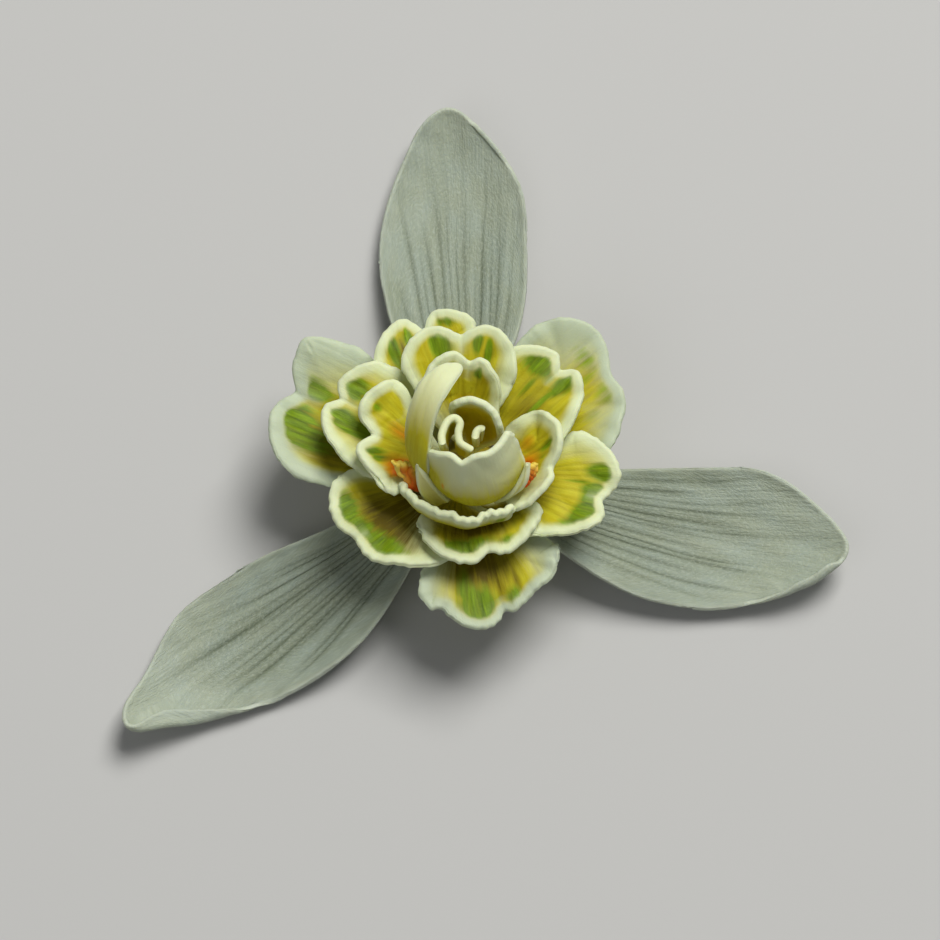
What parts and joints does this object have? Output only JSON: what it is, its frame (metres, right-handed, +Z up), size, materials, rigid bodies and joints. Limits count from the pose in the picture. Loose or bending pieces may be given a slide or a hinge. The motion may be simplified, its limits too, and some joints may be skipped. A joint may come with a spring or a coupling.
{
  "type": "double snowdrop flower",
  "caption": "Double snowdrop flower, picked and laid face up, with long white outer tepals and a rosette of notched, green-marked inner tepals round a closed cup.",
  "frame": {"origin": "middle of the flower's outline in plan, on the surface on which the flower lies face up", "axes": "+Z up, out of the flower's face; +X towards the right of the flower's face, between the tips of the front and the right outer tepal; +Y towards the back outer tepal"},
  "size_m": [0.0452, 0.0409, 0.0152],
  "materials": {
    "outer_tepal": "white petal tissue, faintly translucent, satin, with lengthwise veins",
    "inner_tepal": "creamy white petal tissue, satin, with green and yellow-green marks beside the notch",
    "tepaloid": "pale cream-green petal tissue, satin",
    "anther": "orange pollen-bearing tissue with a yellow edge, matt",
    "ovary": "fresh green plant tissue, waxy satin"
  },
  "bodies": {
    "root": {"outer_tepal_back": "outer_tepal", "outer_tepal_right": "outer_tepal", "outer_tepal_front": "outer_tepal", "inner_tepal_1_right": "inner_tepal", "inner_tepal_1_left": "inner_tepal", "inner_tepal_1_front": "inner_tepal", "inner_tepal_2_right": "inner_tepal", "inner_tepal_2_back": "inner_tepal", "inner_tepal_2_front": "inner_tepal", "inner_tepal_3_right": "inner_tepal", "inner_tepal_3_left": "inner_tepal", "inner_tepal_3_front": "inner_tepal", "inner_tepal_4_right": "inner_tepal", "inner_tepal_4_back": "inner_tepal", "inner_tepal_4_front": "inner_tepal", "inner_tepal_5_left": "inner_tepal", "inner_tepal_5_back": "inner_tepal", "cup_tepal_left": "inner_tepal", "cup_tepal_front": "inner_tepal", "cup_tepal_back": "inner_tepal", "pointed_slip_left": "tepaloid", "pointed_slip_right": "tepaloid", "curled_tepaloid_left": "tepaloid", "curled_tepaloid_right": "tepaloid", "anther_left": "anther", "anther_right": "anther", "ovary": "ovary"}
  },
  "joints": []
}
